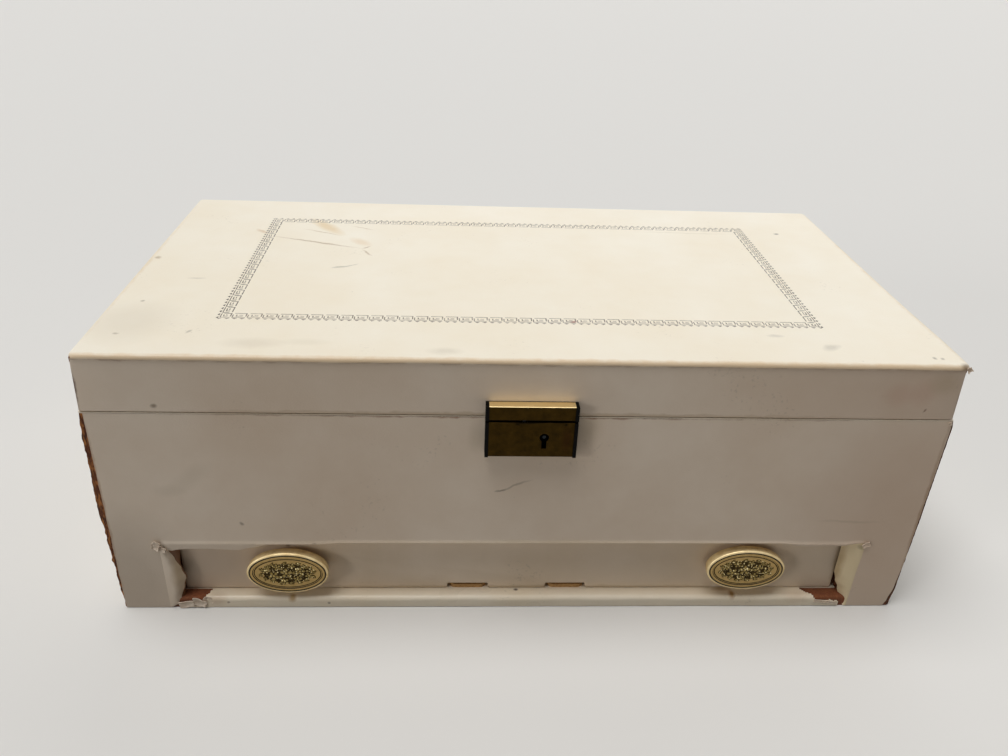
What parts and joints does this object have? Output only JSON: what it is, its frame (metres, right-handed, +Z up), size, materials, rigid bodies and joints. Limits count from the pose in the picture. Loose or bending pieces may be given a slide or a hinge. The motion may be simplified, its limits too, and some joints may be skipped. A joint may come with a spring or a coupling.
{
  "type": "jewelry chest",
  "caption": "Covered jewelry chest with a hinged locking lid, a self-rising divided tray and a low drawer with oval knobs.",
  "frame": {"origin": "centre of the underside of the base, on the surface that the chest stands on", "axes": "+Z up, +X to the right seen from the front, the drawer and lock face -Y"},
  "size_m": [0.382, 0.2183, 0.139],
  "materials": {
    "cream_vinyl": "cream vinyl cloth, faint weave, aged",
    "fibreboard": "bare brown fibreboard",
    "pine_strip": "bare softwood",
    "flock": "flocked lining",
    "flock_board": "board covered with flock",
    "padded_cloth": "velvet over soft padding",
    "brass_fittings": "bright stamped brass",
    "aged_brass": "worn pale brass plate",
    "bronze_medallion": "dark antique relief",
    "black_steel": "black lacquered steel",
    "steel_rivets": "plain steel",
    "mirror": "silvered glass"
  },
  "bodies": {
    "case": {"base_board": "fibreboard", "base_covering": "cream_vinyl", "front_panel": "fibreboard", "left_side_panel": "fibreboard", "right_side_panel": "fibreboard", "back_panel": "fibreboard", "drawer_bay_cheeks": "fibreboard", "shelf_board": "fibreboard", "drawer_guides": "pine_strip", "front_covering": "cream_vinyl", "covering_flaps": "cream_vinyl", "case_covering": "cream_vinyl", "case_rim_binding": "cream_vinyl", "well_lining": "flock", "well_dividers": "flock_board", "arm_studs": "brass_fittings", "lock_back_plate": "black_steel", "lock_case": "aged_brass", "lock_rivets": "steel_rivets", "key_post": "steel_rivets", "case_hinge_leaves": "brass_fittings", "hinge_pins": "steel_rivets", "case_hinge_screws": "steel_rivets"},
    "lid": {"lid_front_rim": "fibreboard", "lid_back_rim": "fibreboard", "lid_side_rims": "fibreboard", "lid_top_panel": "fibreboard", "lid_top_covering": "cream_vinyl", "lid_side_covering": "cream_vinyl", "lid_rim_binding": "cream_vinyl", "lid_wall_lining": "flock", "lid_pad": "padded_cloth", "mirror_glass": "mirror", "lid_brackets": "brass_fittings", "bracket_rivets": "steel_rivets", "hasp_back_plate": "black_steel", "hasp_case": "aged_brass", "hasp_rivets": "steel_rivets", "hasp_tongue": "steel_rivets", "lid_hinge_leaves": "brass_fittings", "lid_hinge_screws": "steel_rivets"},
    "tray": {"tray_long_walls": "flock_board", "tray_end_walls": "flock_board", "tray_floor": "flock_board", "tray_dividers": "flock_board", "ring_rolls": "padded_cloth", "tray_pins": "brass_fittings"},
    "left_arm": {"left_lift_arm": "brass_fittings"},
    "right_arm": {"right_lift_arm": "brass_fittings"},
    "drawer": {"drawer_front": "fibreboard", "drawer_front_covering": "cream_vinyl", "drawer_sides": "flock_board", "drawer_back": "flock_board", "drawer_bottom": "fibreboard", "drawer_pad": "padded_cloth", "drawer_dividers": "flock_board", "knobs": "aged_brass", "knob_medallions": "bronze_medallion", "knob_screws": "steel_rivets"},
    "bolt": {"lock_bolt": "steel_rivets"}
  },
  "joints": [
    {"name": "lid_hinge", "type": "hinge", "parent": "case", "child": "lid", "pos_m": [0, 0.1065, 0.11155], "axis": [-1, 0, 0], "range_deg": [0, 100]},
    {"name": "tray_pivot", "type": "hinge", "parent": "lid", "child": "tray", "pos_m": [0, 0.05886, 0.1057], "axis": [-1, 0, 0], "range_deg": [-100, 0]},
    {"name": "left_arm_pivot", "type": "hinge", "parent": "case", "child": "left_arm", "pos_m": [-0.1797, 0.0145, 0.09955], "axis": [-1, 0, 0], "range_deg": [0, 100]},
    {"name": "right_arm_pivot", "type": "hinge", "parent": "case", "child": "right_arm", "pos_m": [0.1797, 0.0145, 0.09955], "axis": [-1, 0, 0], "range_deg": [0, 100]},
    {"name": "drawer_slide", "type": "slide", "parent": "case", "child": "drawer", "axis": [0, -1, 0], "range_m": [0, 0.15]},
    {"name": "bolt_slide", "type": "slide", "parent": "case", "child": "bolt", "axis": [-1, 0, 0], "range_m": [0, 0.004]}
  ],
  "couplings": [
    {"joint": "tray_pivot", "follows": "lid_hinge", "ratio": -1},
    {"joint": "left_arm_pivot", "follows": "lid_hinge", "ratio": 1},
    {"joint": "right_arm_pivot", "follows": "lid_hinge", "ratio": 1}
  ]
}
